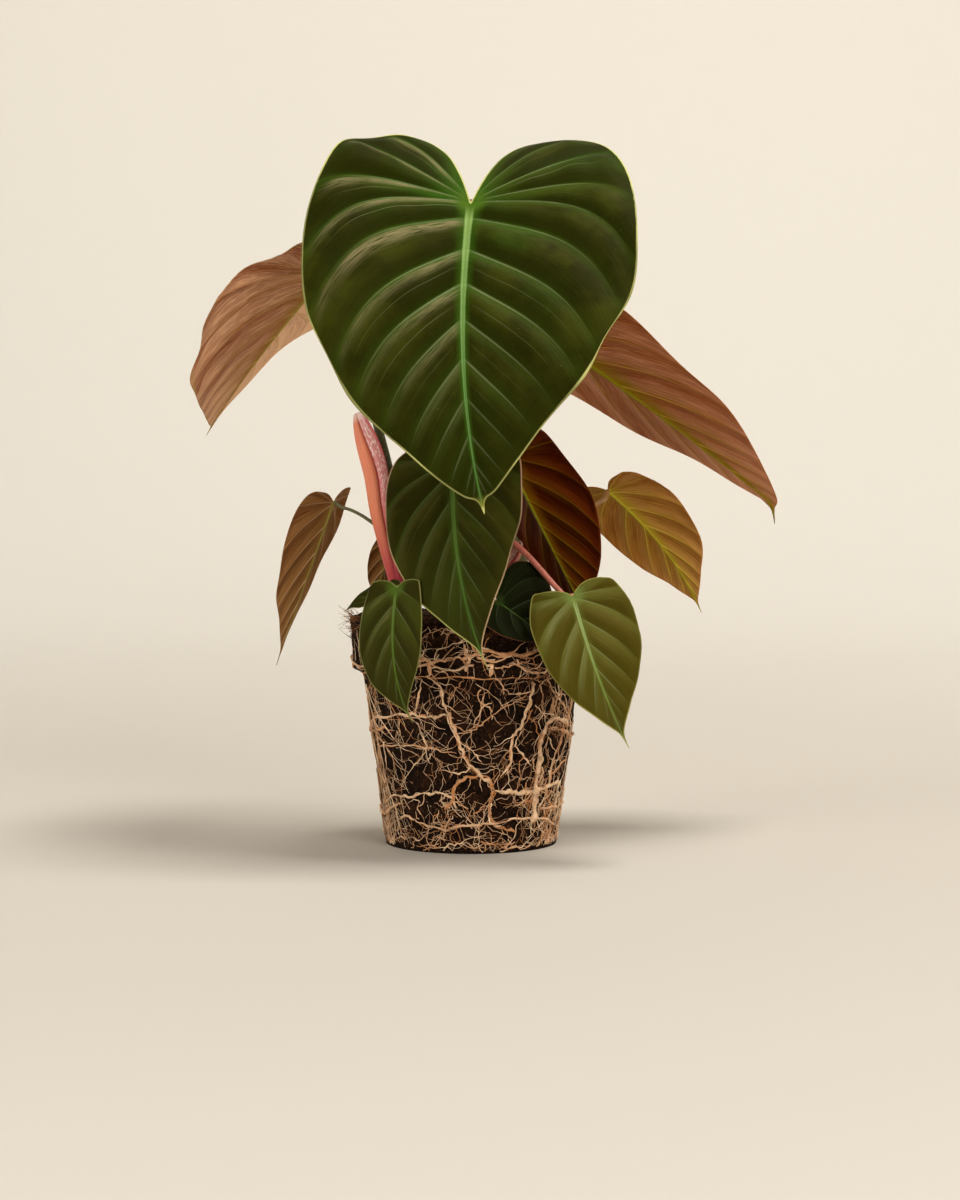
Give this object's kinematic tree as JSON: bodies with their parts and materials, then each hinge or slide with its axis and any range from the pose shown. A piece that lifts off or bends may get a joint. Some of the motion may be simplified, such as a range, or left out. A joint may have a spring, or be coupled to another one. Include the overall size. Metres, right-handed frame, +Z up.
{
  "type": "philodendron plant",
  "caption": "Philodendron lifted out of its pot: a soil plug netted with pale roots, short stems, long leaf stalks, velvety heart-shaped leaves and pink leaf sheaths.",
  "frame": {"origin": "the middle of the soil plug's flat underside", "axes": "+Z up through the plug; -Y is the front that the picture shows, +X is its right"},
  "size_m": [0.2864, 0.1911, 0.3392],
  "materials": {
    "soil": "matte",
    "root": "matte",
    "stem": "satin",
    "stalk": "satin",
    "leaf_dark": "matte",
    "leaf_green": "satin",
    "leaf_red": "satin",
    "sheath": "satin"
  },
  "bodies": {
    "root": {"soil_plug": "soil", "root_net": "root", "stem_left": "stem", "stem_middle": "stem", "stem_back": "stem", "leaf_crown": "leaf_dark", "stalk_crown": "stalk", "leaf_high_left": "leaf_red", "stalk_high_left": "stalk", "leaf_high_right": "leaf_red", "stalk_high_right": "stalk", "leaf_front": "leaf_dark", "stalk_front": "stalk", "leaf_inner_right": "leaf_red", "stalk_inner_right": "stalk", "leaf_outer_right": "leaf_red", "stalk_outer_right": "stalk", "leaf_outer_left": "leaf_red", "stalk_outer_left": "stalk", "leaf_low_right": "leaf_green", "stalk_low_right": "stalk", "leaf_low_left": "leaf_dark", "stalk_low_left": "stalk", "leaf_back_left": "leaf_red", "stalk_back_left": "stalk", "leaf_rim_left": "leaf_green", "stalk_rim_left": "stalk", "leaf_shade": "leaf_dark", "stalk_shade": "stalk", "sheath_tall": "sheath", "sheath_short": "sheath"}
  },
  "joints": []
}
